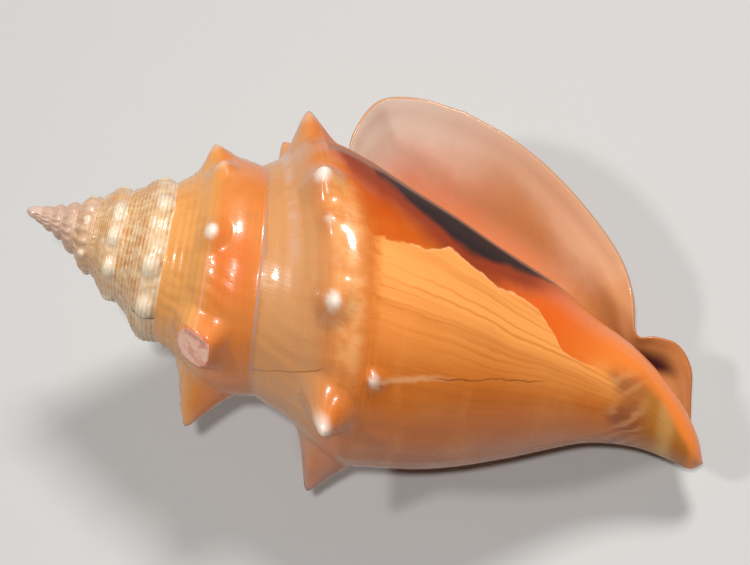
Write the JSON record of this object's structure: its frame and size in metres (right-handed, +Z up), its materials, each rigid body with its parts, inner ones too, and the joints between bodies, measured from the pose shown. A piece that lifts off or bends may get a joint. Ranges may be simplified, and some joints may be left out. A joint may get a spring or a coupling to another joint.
{
  "type": "fighting conch shell",
  "caption": "Spiral sea shell with a pointed stepped spire, blunt shoulder spines, a smooth body and a flared outer lip over an open aperture.",
  "frame": {"origin": "centre of the shell's footprint on the surface it lies on, at its lowest point", "axes": "+Z up as the shell lies at rest, +X from the spire's apex towards the siphonal end, +Y towards the flared lip"},
  "size_m": [0.0866, 0.0522, 0.0422],
  "materials": {
    "shell": "glossy natural shell, cream spire, orange body, peach lip"
  },
  "bodies": {
    "root": {"shell": "shell"}
  },
  "joints": []
}
